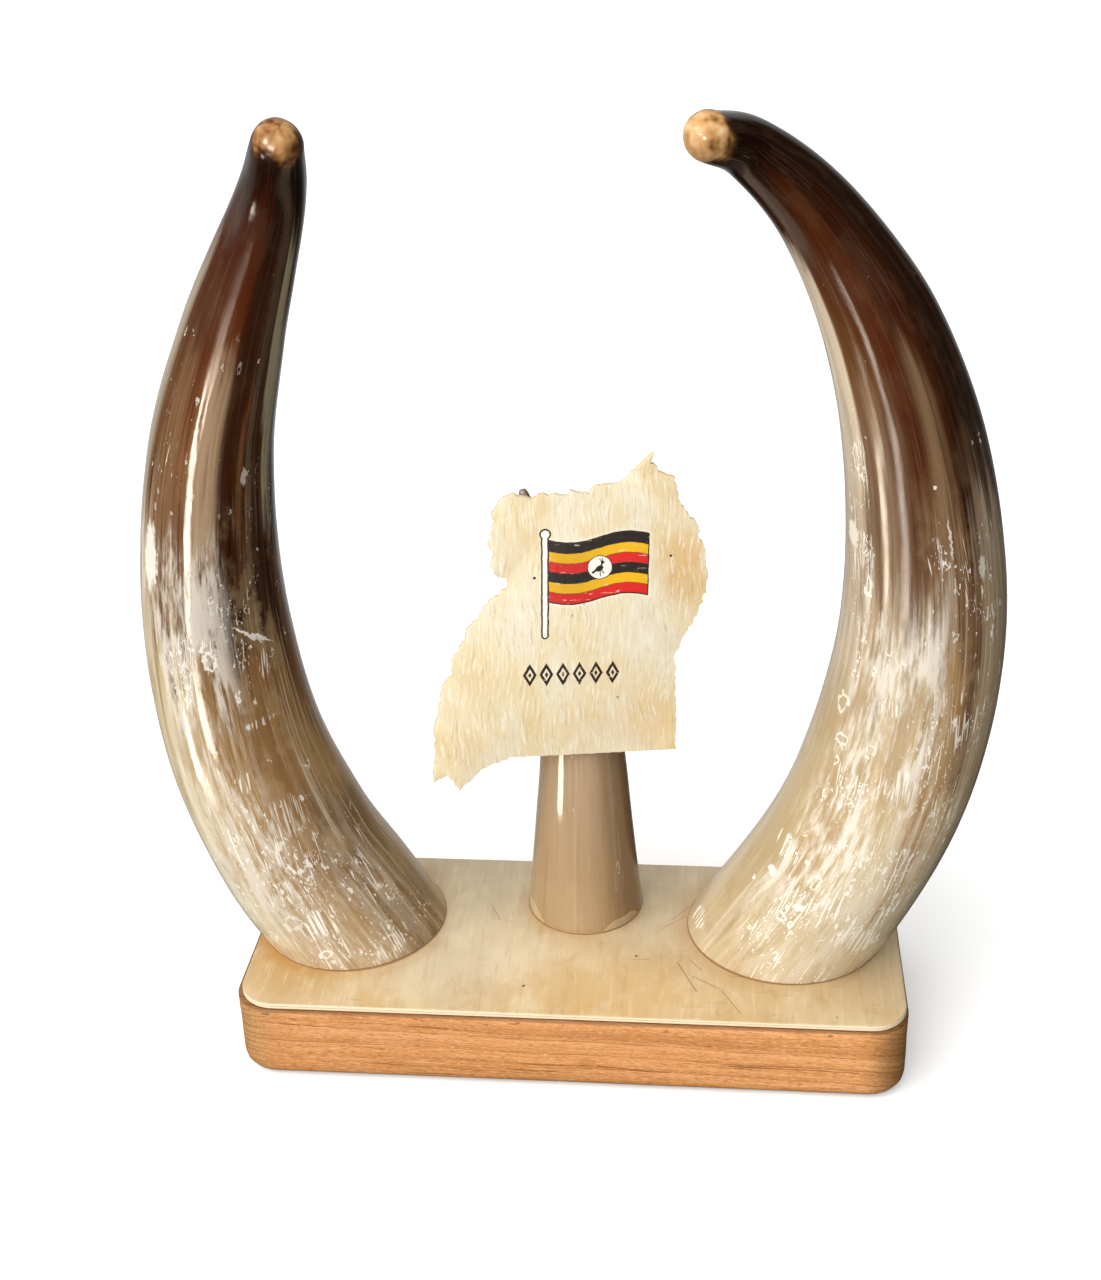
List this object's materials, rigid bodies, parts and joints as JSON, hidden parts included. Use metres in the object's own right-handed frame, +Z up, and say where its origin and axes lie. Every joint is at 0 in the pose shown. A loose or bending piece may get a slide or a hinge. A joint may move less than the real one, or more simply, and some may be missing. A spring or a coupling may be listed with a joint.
{
  "type": "cow horns on a stand",
  "caption": "Polished cow horns curving towards each other on a wooden block, with a small pedestal horn carrying a flat map-shaped plaque between them.",
  "frame": {"origin": "on the block's flat underside, below the middle of the top plate", "axes": "+Z up, +X to the right of someone facing the plaque, +Y away from them"},
  "size_m": [0.3145, 0.1006, 0.3527],
  "materials": {
    "wood": "satin oiled, horizontal grain",
    "bone_plate": "cream horn sheet, satin, stained and scratched",
    "dark_horn": "polished natural horn, black-brown above, cream with streaks below, gold tip",
    "tan_horn": "polished natural horn, tan to brown",
    "bone_plaque": "cream bone sheet with fine upright streaks and a small painted flag"
  },
  "bodies": {
    "root": {"base_block": "wood", "top_plate": "bone_plate", "horn_left": "dark_horn", "horn_right": "dark_horn", "pedestal_horn": "tan_horn", "map_plaque": "bone_plaque"}
  },
  "joints": []
}
